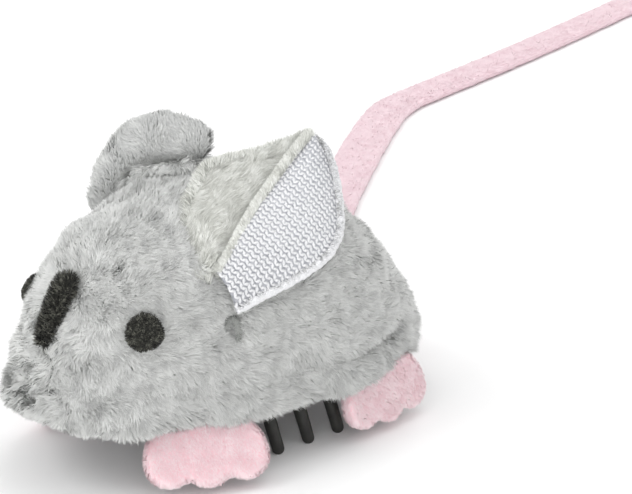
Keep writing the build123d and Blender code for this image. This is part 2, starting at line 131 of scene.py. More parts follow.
def fibres(name, P, N, F, length, lean, width, mats, seed, clump=0.5, per_clump=10, wild=0.22,
           droop=0.0, sink=0.3, shade_wave=2.6, root_shade=True, chunk=60000, body="mouse", soft=0.75,
           tone_add=0.0):
    """Pile: one tapering, bending strand of real mesh at each root. Lengths in millimetres.
    mats runs from the darkest shade to the lightest."""
    r = np.random.default_rng(seed)
    n = len(P)
    L = np.broadcast_to(np.asarray(length, float), (n,)) * r.uniform(0.72, 1.12, n)
    ln = np.broadcast_to(np.asarray(lean, float), (n,))
    wd = np.broadcast_to(np.asarray(width, float), (n,)) * r.uniform(0.75, 1.25, n)
    jit = tangent(r.normal(size=(n, 3)), N) * (wild * np.abs(r.normal(size=(n, 1))))
    Fj = F + jit
    down = np.array([0.0, 0.0, -1.0])
    d0 = norm(N * (1 - 0.55 * ln)[:, None] + Fj * (0.55 * ln)[:, None])
    d1 = norm(N * (1 - ln)[:, None] + Fj * ln[:, None] + down * droop * 0.5)
    d2 = norm(N * (1 - 1.12 * ln)[:, None] + Fj * (1.12 * ln)[:, None] + down * droop)
    p0 = P - N * sink
    p1 = p0 + d0 * (L * 0.38)[:, None]
    p2 = p1 + d1 * (L * 0.36)[:, None]
    p3 = p2 + d2 * (L * 0.30)[:, None]
    if clump > 0 and n > 50:
        heads = r.choice(n, size=max(4, n // per_clump), replace=False)
        tree = KDTree(len(heads))
        for k, h in enumerate(heads):
            tree.insert(P[h], k)
        tree.balance()
        near = np.array([tree.find(p)[1] for p in P])
        hid = heads[near]
        pull = clump * r.uniform(0.5, 1.0, n)
        for q, s in ((p1, 0.12), (p2, 0.55), (p3, 1.0)):
            mid = q[hid]
            q += (mid - q) * (pull * s)[:, None]
    else:
        hid = np.arange(n)
    dirs = (norm(p1 - p0), norm(p2 - p1), norm(p3 - p2))
    twist = tangent(r.normal(size=(n, 3)), dirs[1]) * 0.45
    W = norm(np.cross(dirs[1], N) + twist)
    face = np.cross(W, dirs[1])
    W *= np.where(np.sum(face * N, axis=1) < 0, -1.0, 1.0)[:, None]
    face = norm(np.cross(W, dirs[1]))
    SN = norm(N * soft + face * (1 - soft))
    h = (wd / 2)[:, None]
    V = np.stack([p0 - W * h, p0 + W * h, p1 - W * h, p1 + W * h,
                  p2 - W * h * 0.78, p2 + W * h * 0.78, p3], axis=1)
    tone = sines(P, shade_wave, seed + 5) * 0.55 + r.normal(size=n) * 0.55 + r.normal(size=n)[hid] * 0.5
    tone = tone + tone_add
    k = len(mats)
    lo = 1 if root_shade else 0
    base = np.clip(np.floor((tone * 0.27 + 0.5) * (k - lo)) + lo, lo, k - 1).astype(int)
    out = []
    for part, start in enumerate(range(0, n, chunk)):
        sl = slice(start, min(n, start + chunk))
        v = V[sl]
        m = len(v)
        i0 = (np.arange(m) * 7)[:, None]
        loops = (i0 + np.array([0, 1, 3, 2, 2, 3, 5, 4, 4, 5, 6])).ravel()
        starts = ((np.arange(m) * 11)[:, None] + np.array([0, 4, 8])).ravel()
        me = bpy.data.meshes.new(f"{name}_{part + 1}")
        me.vertices.add(m * 7)
        me.vertices.foreach_set("co", (v.reshape(-1) * MM).astype(np.float32))
        me.loops.add(len(loops))
        me.loops.foreach_set("vertex_index", loops.astype(np.int32))
        me.polygons.add(m * 3)
        me.polygons.foreach_set("loop_start", starts.astype(np.int32))
        b = base[sl]
        # root segment one shade darker: painted shade deep in the pile; about half the tips one shade lighter: painted
        # light on the tips
        root = np.maximum(b - 1, 0) if root_shade else b
        tip = np.minimum(b + (r.random(m) > 0.5), k - 1)
        mi = np.stack([root, b, tip], axis=1).ravel()
        me.polygons.foreach_set("material_index", mi.astype(np.int32))
        for mt in mats:
            me.materials.append(mt)
        me.update(calc_edges=True)
        me.polygons.foreach_set("use_smooth", np.ones(m * 3, bool))
        at = me.attributes.new("custom_normal", "FLOAT_VECTOR", "POINT")
        at.data.foreach_set("vector", np.repeat(SN[sl], 7, axis=0).reshape(-1).astype(np.float32))
        o = bpy.data.objects.new(me.name, me)
        COLL.objects.link(o)
        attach(o, body)
        out.append(o)
    return out


# ------------------------------------------------------------------ materials
def lin(r, g, b):
    def one(c):
        c /= 255.0
        return c / 12.92 if c <= 0.04045 else ((c + 0.055) / 1.055) ** 2.4
    return (one(r), one(g), one(b), 1.0)


def new_mat(name):
    m = bpy.data.materials.new(name)
    m.use_nodes = True
    nt = m.node_tree
    return m, nt, nt.nodes["Principled BSDF"]


def procedural(name, dark, light, scale=900.0, rough=(0.55, 0.75), bump=0.15, bump_scale=2500.0, metal=0.0,
               detail=4.0, distance=0.00008, stretch=(1, 1, 1), spec=0.4, sheen=0.0, coat=0.0):
    """Colour, roughness and fine relief from noise at the material's own scale."""
    m, nt, b = new_mat(name)
    L = nt.links
    tc = nt.nodes.new("ShaderNodeTexCoord")
    mp = nt.nodes.new("ShaderNodeMapping")
    mp.inputs["Scale"].default_value = stretch
    L.new(tc.outputs["Object"], mp.inputs["Vector"])
    n1 = nt.nodes.new("ShaderNodeTexNoise")
    n1.inputs["Scale"].default_value = scale
    n1.inputs["Detail"].default_value = detail
    L.new(mp.outputs["Vector"], n1.inputs["Vector"])
    cr = nt.nodes.new("ShaderNodeValToRGB")
    cr.color_ramp.elements[0].position, cr.color_ramp.elements[1].position = 0.32, 0.68
    cr.color_ramp.elements[0].color, cr.color_ramp.elements[1].color = dark, light
    L.new(n1.outputs["Fac"], cr.inputs["Fac"])
    L.new(cr.outputs["Color"], b.inputs["Base Color"])
    n2 = nt.nodes.new("ShaderNodeTexNoise")
    n2.inputs["Scale"].default_value = bump_scale
    n2.inputs["Detail"].default_value = 3.0
    L.new(mp.outputs["Vector"], n2.inputs["Vector"])
    mr = nt.nodes.new("ShaderNodeMapRange")
    mr.inputs["To Min"].default_value, mr.inputs["To Max"].default_value = rough
    L.new(n2.outputs["Fac"], mr.inputs["Value"])
    L.new(mr.outputs["Result"], b.inputs["Roughness"])
    bp = nt.nodes.new("ShaderNodeBump")
    bp.inputs["Strength"].default_value = bump
    bp.inputs["Distance"].default_value = distance
    L.new(n2.outputs["Fac"], bp.inputs["Height"])
    L.new(bp.outputs["Normal"], b.inputs["Normal"])
    b.inputs["Metallic"].default_value = metal
    b.inputs["Specular IOR Level"].default_value = spec
    b.inputs["Sheen Weight"].default_value = sheen
    b.inputs["Coat Weight"].default_value = coat
    return m


def strand(name, colour, rough=0.85, spec=0.15, sheen=0.25):
    """One shade of pile. A strand is far thinner than any pattern on it, so each has one
    colour, and the variation comes from the mix of shades between strands and along them,
    where a darker root is painted shade and a lighter tip painted light."""
    m, nt, b = new_mat(name)
    b.inputs["Base Color"].default_value = colour
    b.inputs["Roughness"].default_value = rough
    b.inputs["Specular IOR Level"].default_value = spec
    b.inputs["Sheen Weight"].default_value = sheen
    b.inputs["Sheen Roughness"].default_value = 0.5
    return m


def shades(prefix, cols, **kw):
    return [strand(f"{prefix}_{i}", lin(*c), **kw) for i, c in enumerate(cols)]


GREY = shades("plush_pile", [(172, 174, 172), (190, 191, 190), (203, 204, 202), (213, 214, 212), (223, 224, 222)])
WARM = shades("ear_pile", [(156, 157, 151), (188, 189, 183), (204, 205, 199), (216, 217, 212), (228, 229, 225)])
PALE = shades("rim_pile", [(205, 206, 204), (226, 227, 226), (238, 239, 240), (248, 248, 250)])
BLACK = shades("felt_pile", [(22, 22, 20), (42, 42, 38), (62, 62, 57), (100, 100, 92)], sheen=0.1)
PINK = shades("paw_pile", [(243, 214, 219), (246, 220, 225), (248, 226, 230), (250, 231, 234)])
# dark strands that paint the shade in the pinched crease where the ear is tacked down
CREASE_SHADE = shades("crease_shade_pile", [(102, 104, 102), (122, 124, 121), (140, 142, 139), (158, 160, 157)])
TAILP = shades("tail_pile", [(226, 196, 204), (230, 205, 212), (234, 211, 217), (237, 216, 222)])

backing = procedural("plush_backing", lin(152, 153, 151), lin(186, 187, 184), 700, (0.85, 0.98), 0.4, 3200, sheen=0.2)
paw_cloth = procedural("paw_fleece", lin(246, 206, 213), lin(252, 218, 224), 500, (0.85, 0.98), 0.5, 3800, sheen=0.3)
tail_cloth = procedural("tail_fleece", lin(230, 203, 210), lin(236, 213, 219), 420, (0.82, 0.97), 0.25, 3600, sheen=0.3)
felt = procedural("black_felt", lin(18, 18, 16), lin(46, 46, 42), 1800, (0.85, 0.98), 0.7, 4200, sheen=0.1)
# the knit's ground, seen between the stitches, greyer than the yarn: painted shade in the gaps of the knit
knit_gap_shade = procedural("knit_ground_shade", lin(146, 148, 153), lin(182, 183, 188), 1500, (0.75, 0.9), 0.4, 4200)
knit_yarn = procedural("knit_yarn", lin(202, 203, 205), lin(222, 222, 224), 2600, (0.6, 0.8), 0.5, 9000, sheen=0.2)
rubber = procedural("leg_rubber", lin(24, 24, 22), lin(40, 40, 36), 600, (0.42, 0.62), 0.25, 2600, spec=0.45)
rubber_strip = procedural("strip_rubber", lin(26, 26, 24), lin(38, 38, 35), 420, (0.5, 0.7), 0.3, 1900)
abs_black = procedural("moulded_black", lin(22, 22, 23), lin(34, 34, 35), 300, (0.38, 0.55), 0.18, 5200)
abs_white = procedural("moulded_white", lin(212, 210, 203), lin(228, 226, 219), 260, (0.35, 0.5), 0.15, 5200)
steel = procedural("steel", lin(168, 170, 173), lin(196, 198, 200), 900, (0.22, 0.4), 0.12, 4600, metal=1.0, stretch=(1, 0.1, 1))
zinc = procedural("screw_zinc", lin(150, 152, 156), lin(186, 188, 190), 1600, (0.28, 0.45), 0.2, 6000, metal=1.0)
brass = procedural("contact_nickel", lin(184, 178, 160), lin(206, 200, 184), 1200, (0.25, 0.4), 0.1, 5000, metal=1.0)
heavy = procedural("sintered_weight", lin(96, 96, 98), lin(132, 132, 134), 2400, (0.45, 0.65), 0.4, 7000, metal=1.0)
board = procedural("board_mask", lin(18, 82, 46), lin(28, 104, 60), 700, (0.25, 0.4), 0.15, 3000, coat=0.2)
wire_red = procedural("wire_red", lin(150, 22, 20), lin(178, 34, 30), 900, (0.35, 0.5), 0.1, 4000)
wire_black = procedural("wire_black", lin(18, 18, 18), lin(32, 32, 32), 900, (0.35, 0.5), 0.1, 4000)
wadding = procedural("wadding", lin(226, 226, 224), lin(246, 246, 244), 380, (0.9, 1.0), 0.8, 1500, sheen=0.3)


def weave_mat(name, dark, light, thread_mm):
    """A plain weave: two crossed wave patterns over a mottled ground."""
    m, nt, b = new_mat(name)
    L = nt.links
    tc = nt.nodes.new("ShaderNodeTexCoord")
    waves = []
    for axis in ("X", "Y"):
        w = nt.nodes.new("ShaderNodeTexWave")
        w.bands_direction = axis
        w.inputs["Scale"].default_value = 1.0 / (thread_mm * MM * 20.0) * math.pi
        w.inputs["Distortion"].default_value = 0.6
        w.inputs["Detail"].default_value = 2.0
        L.new(tc.outputs["Object"], w.inputs["Vector"])
        waves.append(w)
    mx = nt.nodes.new("ShaderNodeMath")
    mx.operation = "MULTIPLY"
    L.new(waves[0].outputs["Fac"], mx.inputs[0])
    L.new(waves[1].outputs["Fac"], mx.inputs[1])
    cr = nt.nodes.new("ShaderNodeValToRGB")
    cr.color_ramp.elements[0].color, cr.color_ramp.elements[1].color = dark, light
    L.new(mx.outputs[0], cr.inputs["Fac"])
    L.new(cr.outputs["Color"], b.inputs["Base Color"])
    bp = nt.nodes.new("ShaderNodeBump")
    bp.inputs["Strength"].default_value = 0.6
    bp.inputs["Distance"].default_value = 0.0001
    L.new(mx.outputs[0], bp.inputs["Height"])
    L.new(bp.outputs["Normal"], b.inputs["Normal"])
    b.inputs["Roughness"].default_value = 0.9
    return m


base_weave = weave_mat("base_weave", lin(118, 119, 118), lin(176, 177, 174), 0.45)

CARRIED = {
    "base_cloth": base_weave, "battery_door": abs_black, "button_cells": steel, "chassis_tray": abs_black,
    "circuit_board": board, "contact_negative": brass, "contact_positive": brass, "door_screw": zinc,
    "eccentric_weight": heavy, "housing_screws": zinc, "lead_negative": wire_black,
    "lead_positive": wire_red, "leg_strip_left": rubber_strip, "leg_strip_right": rubber_strip,
    "motor_can": steel, "motor_clip": steel, "motor_end_cap": abs_white, "motor_shaft": steel,
    "switch_body": steel, "switch_slider": abs_white, "upper_housing": abs_black,
}
for i in range(1, 6):
    CARRIED[f"leg_left_{i}"] = rubber
    CARRIED[f"leg_right_{i}"] = rubber
for node, mt in CARRIED.items():
    me = NODES[node].data
    me.materials.clear()
    me.materials.append(mt)

# ------------------------------------------------------------------ tail ribbon
TAIL = [(0.68, 35.98, 9.75), (-10.0, 43.4, 8.1), (-26.4, 54.8, 1.0), (-43.0, 66.4, 1.0), (-62.6, 80.2, 1.0),
        (-89.6, 113.6, 1.0), (-106.4, 135.2, 1.0), (-116.6, 150.0, 1.0), (-120.6, 168.0, 1.0),
        (-127.7, 200.2, 1.0), (-138.2, 240.9, 1.0), (-147.0, 272.7, 1.0)]
TAIL_W, TAIL_T = 10.2, 2.0


def nurbs_line(name, pts_mm):
    cu = bpy.data.curves.new(name, "CURVE")
    cu.dimensions = "3D"
    sp = cu.splines.new("NURBS")
    sp.points.add(len(pts_mm) - 1)
    for p, q in zip(sp.points, pts_mm):
        p.co = (q[0] * MM, q[1] * MM, q[2] * MM, 1.0)
    sp.order_u = 3
    sp.use_endpoint_u = True
    sp.resolution_u = 22
    ob = bpy.data.objects.new(name, cu)
    COLL.objects.link(ob)
    dg = bpy.context.evaluated_depsgraph_get()
    me = bpy.data.meshes.new_from_object(ob.evaluated_get(dg))
    pts = np.array([v.co[:] for v in me.vertices]) / MM
    bpy.data.objects.remove(ob)
    return pts


line = nurbs_line("tail_line", TAIL)
tan = norm(np.gradient(line, axis=0))
wid = norm(np.cross(np.array([0.0, 0.0, 1.0]), tan))
nrm = norm(np.cross(tan, wid))
run = np.concatenate([[0], np.cumsum(np.linalg.norm(np.diff(line, axis=0), axis=1))])
SEC = 28
verts = []
for i, p in enumerate(line):
    end = min(1.0, math.sqrt(max(0.0, 1 - max(0.0, 1 - (run[-1] - run[i]) / 2.4) ** 2)) + 0.02)
    for j in range(SEC):
        a = 2 * math.pi * j / SEC
        c, s = math.cos(a), math.sin(a)
        x = math.copysign(abs(c) ** 0.62, c) * TAIL_W / 2 * (0.55 + 0.45 * end)
        z = math.copysign(abs(s) ** 0.75, s) * TAIL_T / 2 * end
        # cut edges are a little uneven and the middle is slightly cupped
        x *= 1 + 0.012 * math.sin(run[i] * 0.43) + 0.008 * math.sin(run[i] * 1.3 + 1.0)
        z *= 1 - 0.10 * (1 - abs(c)) * (1 if s > 0 else 0)
        verts.append(p + wid[i] * x + nrm[i] * z)
nt_ = len(line)
verts.append(line[0]); verts.append(line[-1])
faces = grid_faces(nt_, SEC, close_v=True)
faces += [(nt_ * SEC, (j + 1) % SEC, j) for j in range(SEC)]
faces += [(nt_ * SEC + 1, (nt_ - 1) * SEC + j, (nt_ - 1) * SEC + (j + 1) % SEC) for j in range(SEC)]
tail = mesh_object("tail_ribbon", verts, faces)
tail.data.materials.append(tail_cloth)
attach(tail, "mouse")
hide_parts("tail")
P, N = surface_samples(tail.data, 9.0, 31)
ti = np.array([np.argmin(np.sum((line - p) ** 2, axis=1)) for p in P])
F = tangent(tan[ti] * 0.8 + wid[ti] * 0.5 * np.sign(np.sum((P - line[ti]) * wid[ti], axis=1))[:, None], N)
nap = fibres("tail_nap", P, N, F, 0.7, 0.72, 0.12, TAILP, 41, clump=0.25, per_clump=8, wild=0.7, sink=0.1,
             root_shade=False, shade_wave=4.0, soft=0.97)

# ------------------------------------------------------------------ outline of the folded ear
LB = np.array([(13.07, -8.58, 33.93), (10.89, -10.82, 35.21), (8.41, -11.17, 37.69), (5.95, -10.93, 40.42), (4.47, -8.75, 43.01),
               (3.55, -5.95, 45.3), (2.2, -1.5, 48.3), (3.1, 2.05, 48.8), (4.5, 6.31, 49.2), (5.8, 10.6, 49.9), (7.2, 14.6, 50.4)])
MB = np.array([(13.07, -8.58, 33.93), (11.81, -4.25, 37.29), (10.67, -0.4, 40.3), (9.92, 2.73, 42.56), (9.21, 6.5, 45.07),
               (8.5, 10.3, 47.61), (7.95, 14.21, 50.01), (7.6, 16.1, 50.9)])
RB = np.array([(18.19, -8.04, 28.72), (18.49, -4.73, 29.94), (19.06, -1.41, 30.89), (19.69, 2.32, 31.95), (20.14, 6.21, 33.29),
               (20.18, 9.82, 34.93), (19.11, 13.08, 37.59), (17.07, 14.99, 40.65), (14.88, 16.37, 43.64), (12.7, 17.29, 46.39),
               (10.19, 17.61, 49.2), (8.37, 16.91, 50.82)])
EAR_N = norm(np.array([0.695, -0.304, 0.652]))
LIFT = np.array([0.7306, -0.5708, 0.3746]) * 3.6
LB, MB, RB = LB + LIFT * np.linspace(0.9, 0.45, len(LB))[:, None], MB + LIFT, RB + LIFT
ALONG = norm(MB[-1] - MB[0])
ACROSS = norm(np.cross(EAR_N, ALONG))
if np.dot(ACROSS, RB[5] - MB[3]) < 0:
    ACROSS = -ACROSS


def in_ring(U, ring):
    """Which of the 2-D points U lie inside the closed outline."""
    hit = np.zeros(len(U), int)
    for (x1, y1), (x2, y2) in zip(ring, np.roll(ring, -1, axis=0)):
        if abs(y2 - y1) < 1e-9:
            continue
        hit += ((y1 > U[:, 1]) != (y2 > U[:, 1])) & (U[:, 0] < (x2 - x1) * (U[:, 1] - y1) / (y2 - y1) + x1)
    return hit % 2 == 1


def under_ear(P):
    """1 for roots that the folded ear lies on."""
    ring = np.concatenate([LB, RB[::-1]])
    flat = np.stack([(ring - MB[0]) @ ALONG, (ring - MB[0]) @ ACROSS], axis=1)
    U = np.stack([(P - MB[0]) @ ALONG, (P - MB[0]) @ ACROSS], axis=1)
    depth = (P - MB[0]) @ EAR_N
    return (in_ring(U, flat) & (depth < 3) & (depth > -12)).astype(float)





# ------------------------------------------------------------------ plush cover
SECT = np.array([(-40.2, 0.6, 15.2), (-39.8, 3.4, 17.0), (-39.0, 5.8, 18.8), (-37.0, 8.8, 21.2), (-34.3, 10.9, 24.6),
                 (-31.5, 13.0, 30.2), (-28.2, 14.8, 36.4), (-23.5, 16.9, 41.2), (-14, 19.2, 45.2), (-2, 20.7, 47.6),
                 (10, 21.8, 46.8), (20, 21.2, 42.4), (29, 17.8, 33.7), (35.5, 13.9, 25.9), (39.3, 10.4, 20.5),
                 (40.8, 6.6, 15.2), (41.5, 3.6, 13.2), (41.8, 0.6, 11.6)])
SECT[:, 1] = np.maximum(SECT[:, 1] - 1.2, 0.4)
SECT[:, 2] = np.maximum(SECT[:, 2] - 1.4, 11.4)
SECT[:2, 2] = (15.2, 16.4)
SECT[:, 0] *= 39.9 / 41.0
SECT[:4, 0] += (0.9, 0.8, 0.55, 0.2)
HEM = 11.0
SECN = 2.5


HEM_RISE = np.array([(-42, 4.8), (-38, 4.0), (-33, 2.3), (-28, 1.3), (-24, 1.1), (-20, 1.3), (-15, 1.0), (-9, 0.4), (-4, 0.15),
                     (12, 0.15), (19, 0.3), (25, 0.4), (33, 0.5), (42, 0.7)])


def hem_z(y):
    """Height of the hem: it lifts over the paws and at the muzzle."""
    return HEM + np.interp(y, HEM_RISE[:, 0], HEM_RISE[:, 1])


def hermite(y, col):
    ys, vs = SECT[:, 0], SECT[:, col]
    sl = np.gradient(vs, ys)
    i = np.clip(np.searchsorted(ys, y) - 1, 0, len(ys) - 2)
    h = ys[i + 1] - ys[i]
    t = np.clip((y - ys[i]) / h, 0, 1)
    return ((2 * t**3 - 3 * t**2 + 1) * vs[i] + (t**3 - 2 * t**2 + t) * h * sl[i]
            + (-2 * t**3 + 3 * t**2) * vs[i + 1] + (t**3 - t**2) * h * sl[i + 1])


# dents and swellings: centre, reach, and how far out (mm)
FORMS = [((-4.4, -5.6, 45.2), 3.2, -1.0), ((18.4, -8.8, 26.8), 2.2, -2.0), ((18.8, -8.2, 24.8), 1.8, -1.2), ((12.0, -36.0, 15.0), 6.0, 0.6), ((1.2, -33.0, 26.0), 5.0, 0.9), ((1.5, -30.6, 31.0), 5.0, 0.8)]


def cover_point(y, th):
    b0 = hem_z(y)
    w, h = np.maximum(hermite(y, 1), 0.4), np.maximum(hermite(y, 2), b0 + 0.3)
    c, s = np.cos(th), np.sin(th)
    sec = SECN - 0.42 * (1 - smooth(y, -30, -10))
    x = np.sign(c) * np.abs(c) ** (2 / sec) * w
    z = b0 + (h - b0) * np.abs(s) ** (2 / sec)
    P = np.stack([x, y, z], axis=-1)
    # the gathered hem: a soft groove above it, deeper towards the rear, and a roll below
    side = np.sign(x) * smooth(np.abs(x), 2, 8)
    g = np.exp(-((z - b0 - 4.8 - 0.6 * np.sin(y * 0.3)) / 1.5) ** 2) * (0.35 + 0.65 * smooth(y, -16, 16)) * (1 - 0.5 * smooth(y, 16, 32))
    r = np.exp(-((z - b0 - 1.2) / 2.6) ** 2) * (0.4 + 0.6 * smooth(y, -10, 25))
    P[..., 0] += side * (-1.2 * g + 0.6 * r)
    flat = P.reshape(-1, 3)
    amount = sines(flat, 13.0, 3) * 0.32 + sines(flat, 6.0, 4) * 0.14
    out = norm(np.stack([flat[:, 0], flat[:, 1] * 0.35, (flat[:, 2] - 14) * 0.9], axis=1))
    for cpt, reach, depth in FORMS:
        d2 = np.sum((flat - np.array(cpt)) ** 2, axis=1)
        amount = amount + depth * np.exp(-d2 / (2 * (reach * 0.6) ** 2))
    flat = flat + out * amount[:, None]
    return flat.reshape(P.shape)


NY, NT = 190, 140
ys = np.concatenate([np.linspace(SECT[0, 0], -37.6, 16)[:-1], np.linspace(-37.6, 37.6, NY - 30), np.linspace(37.6, SECT[-1, 0], 16)[1:]])
NY = len(ys)
ths = np.linspace(0, math.pi, NT)
Y, TH = np.meshgrid(ys, ths, indexing="ij")
G = cover_point(Y, TH)
# hem turned in at both sides
left = [G[:, :1, :] + np.array([-0.25, 0, -0.55]), G[:, :1, :] + np.array([-1.2, 0, -0.75]), G[:, :1, :] + np.array([-3.0, 0, -0.3])]
right = [G[:, -1:, :] + np.array([0.25, 0, -0.55]), G[:, -1:, :] + np.array([1.2, 0, -0.75]), G[:, -1:, :] + np.array([3.0, 0, -0.3])]
for g in left:
    g[..., 0] = np.maximum(g[..., 0], 0.05)
for g in right:
    g[..., 0] = np.minimum(g[..., 0], -0.05)
G = np.concatenate(left[::-1] + [G] + right, axis=1)
cover = mesh_object("cover_skin", G.reshape(-1, 3), grid_faces(NY, G.shape[1]))
cover.data.materials.append(backing)
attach(cover, "mouse")
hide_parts("plush_cover")
n_mid = np.zeros(3)
cover.data.vertices[(NY // 2) * G.shape[1] + G.shape[1] // 2].normal.copy()
if cover.data.vertices[(NY // 2) * G.shape[1] + G.shape[1] // 2].normal.z < 0:
    cover.data.flip_normals()

HOLE = np.array([(-27.4, 0.0), (-27.0, 7.4), (-23.0, 11.4), (-11.5, 13.7), (-9.8, 17.6), (22.8, 17.6), (28.0, 12.9), (31.5, 8.3), (31.9, 0.0)])
by = np.linspace(-38.2, 39.6, 120)
for sgn, side in ((1, "left"), (-1, "right")):
    V = []
    for y in by:
        w = max(float(hermite(np.array([y]), 1)[0]) - 1.6, 0.3)
        x0 = float(np.interp(y, HOLE[:, 0], HOLE[:, 1])) if -27.4 < y < 31.9 else 0.0
        x0 = min(x0, w - 0.2)
        for j in range(11):
            x = x0 + (w - x0) * j / 10
            sag = 0.35 * math.sin(math.pi * j / 10) + 0.12 * math.sin(y * 0.9 + j)
            V.append((sgn * x, y, float(hem_z(y)) - 0.15 + (0.5 - sag * 0.5) - (1 - j / 10) * (float(hem_z(y)) - 11.0) * (1.0 if x0 > 0 else 0.0)))
    panel = mesh_object("base_panel_" + side, V, grid_faces(len(by), 11))
    so = panel.modifiers.new("cloth", "SOLIDIFY")
    so.thickness = 0.0006
    so.offset = 0
    panel.data.materials.append(base_weave)
    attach(panel, "mouse")
    if sgn > 0:
        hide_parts("base_cloth")

EYE_C, EYE_N = np.array([15.2, -24.5, 28.75]), norm(np.array([0.80, -0.46, 0.38]))
EYE_R = np.array([-15.0, -24.4, 27.2])
NOSE_A, NOSE_B = np.array([0.7, -33.8, 24.4]), np.array([1.9, -28.6, 35.8])


def seg_dist(P, a, b):
    ab = b - a
    t = np.clip((P - a) @ ab / (ab @ ab), 0, 1)
    return np.linalg.norm(P - (a + t[:, None] * ab), axis=1)


def cover_fur(density, seed):
    P, N = surface_samples(cover.data, density, seed)
    eye_l = np.linalg.norm(P - EYE_C, axis=1)
    eye_r = np.linalg.norm(P - EYE_R, axis=1)
    eye = np.minimum(eye_l, eye_r)
    under = under_ear(P)
    nose = seg_dist(P, NOSE_A, NOSE_B)
    keep = (eye > 2.9) & (nose > 1.1) & (P[:, 2] > hem_z(P[:, 1]) - 1.2)
    # none on the inside of the hem, where the legs swing
    keep &= ~((P[:, 2] < hem_z(P[:, 1]) + 0.6) & (np.abs(P[:, 0]) < hermite(P[:, 1], 1) - 1.4) & (np.abs(P[:, 1]) < 34))
    P, N, eye, nose = P[keep], N[keep], eye[keep], nose[keep]
    x, y, z = P.T
    muz = 1 - smooth(y, -36, -24)
    low = 1 - smooth(z, 12, 26)
    roll_gap = seg_dist(P, np.array([-9.0, -8.6, 42.6]), np.array([0.2, -2.6, 47.2]))
    beside = seg_dist(P, NOSE_A + [3.4, 0.6, 1.5], NOSE_B + [4.2, 0.9, -0.6])
    tuck = seg_dist(P, np.array([18.2, -9.2, 27.6]), np.array([18.6, -8.6, 24.6]))
    groove = np.exp(-((z - hem_z(y) - 4.8 - 0.6 * np.sin(y * 0.3)) / 0.9) ** 2) * smooth(y, -14, 6)
    # tone below is painted light and shade on the same pile: painted shade beside the nose strip, in the hem groove, in
    # the crease under the fold roll and in the tack dimple, and painted light lifting the muzzle tip
    tone = 0.1 * (1 - smooth(y, -38, -30)) - 0.8 * np.exp(-(beside / 1.9) ** 2) - 0.7 * groove * (1 - 0.5 * smooth(y, 18, 32)) - 0.9 * np.exp(-(roll_gap / 1.1) ** 2) - 2.6 * np.exp(-(tuck / 0.9) ** 2)
    # combed back and down over the body, forward and down round the muzzle
    F = np.stack([0.25 * np.sign(x) * low, 0.75 - 0.95 * muz, -0.25 - 0.75 * low - 0.45 * muz], axis=1)
    F = tangent(F, N)
    B = np.cross(N, F)
    turn = sines(P, 9.0, 21) * (0.42 + 0.3 * muz) + sines(P, 3.4, 22) * (0.30 + 0.28 * muz)
    F = F * np.cos(turn)[:, None] + B * np.sin(turn)[:, None]
    L = 2.55 + 0.55 * low - 0.35 * smooth(z, 34, 46) + sines(P, 5.0, 23) * 0.2
    lean = np.clip(0.55 - 0.06 * low - 0.06 * muz + sines(P, 4.2, 24) * 0.07, 0.3, 0.85)
    up = z - hem_z(y)
    hem = 1 - smooth(up, 0.2, 2.5)
    lean = lean - 0.1 * hem
    # shorter against the eyes and the nose strip, so neither is buried
    close = np.minimum(smooth(eye, 2.9, 6.0), smooth(nose, 1.4, 4.6))
    L *= 0.42 + 0.58 * close
    L = np.where(up < 0, L * 0.7, L)
    L = L * (1 - 0.6 * under[keep])
    L *= 1 - 0.28 * (1 - smooth(y, -40, -33))
    L *= 1 - 0.45 * np.exp(-(roll_gap / 1.5) ** 2) - 0.5 * np.exp(-(tuck / 1.2) ** 2)
    return P, N, F, L, lean, tone


P, N, F, L, lean, tone = cover_fur(62.0, 101)
# the pile's tone carries the painted shade and light worked out in cover_fur
fur = fibres("fur", P, N, F, L, lean, 0.09, GREY, 102, clump=0.30, per_clump=26, wild=0.55, droop=0.05, tone_add=tone, soft=0.88)

# where the folded ear is tacked down, the pile is pinched into a small crease; dark strands laid over it paint the
# crease's shade
r_ = np.random.default_rng(131)
TACK = np.array([(17.6, -9.9, 26.4), (18.0, -9.4, 27.8), (18.3, -8.6, 28.0), (18.7, -8.2, 26.6), (18.9, -8.4, 24.6)])
tk_ = r_.random(420)
P = np.stack([np.interp(tk_, np.linspace(0, 1, 5), TACK[:, k]) for k in range(3)], axis=1) + r_.normal(size=(420, 3)) * 0.16
skin = BVHTree.FromPolygons([v.co[:] for v in cover.data.vertices], [tuple(p.vertices) for p in cover.data.polygons])
PN = []
for p in P:
    loc, no, _, _ = skin.find_nearest(Vector(p * MM))
    PN.append((np.array(loc) / MM, np.array(no)))
P, N = np.array([q[0] for q in PN]), np.array([q[1] for q in PN])
if np.mean(N @ np.array([1.0, -0.3, 0.3])) < 0:
    N = -N
P = P + N * 1.1
F = tangent(np.broadcast_to(np.array([0.1, 0.3, -1.0]), P.shape) + r_.normal(size=P.shape) * 0.3, N)
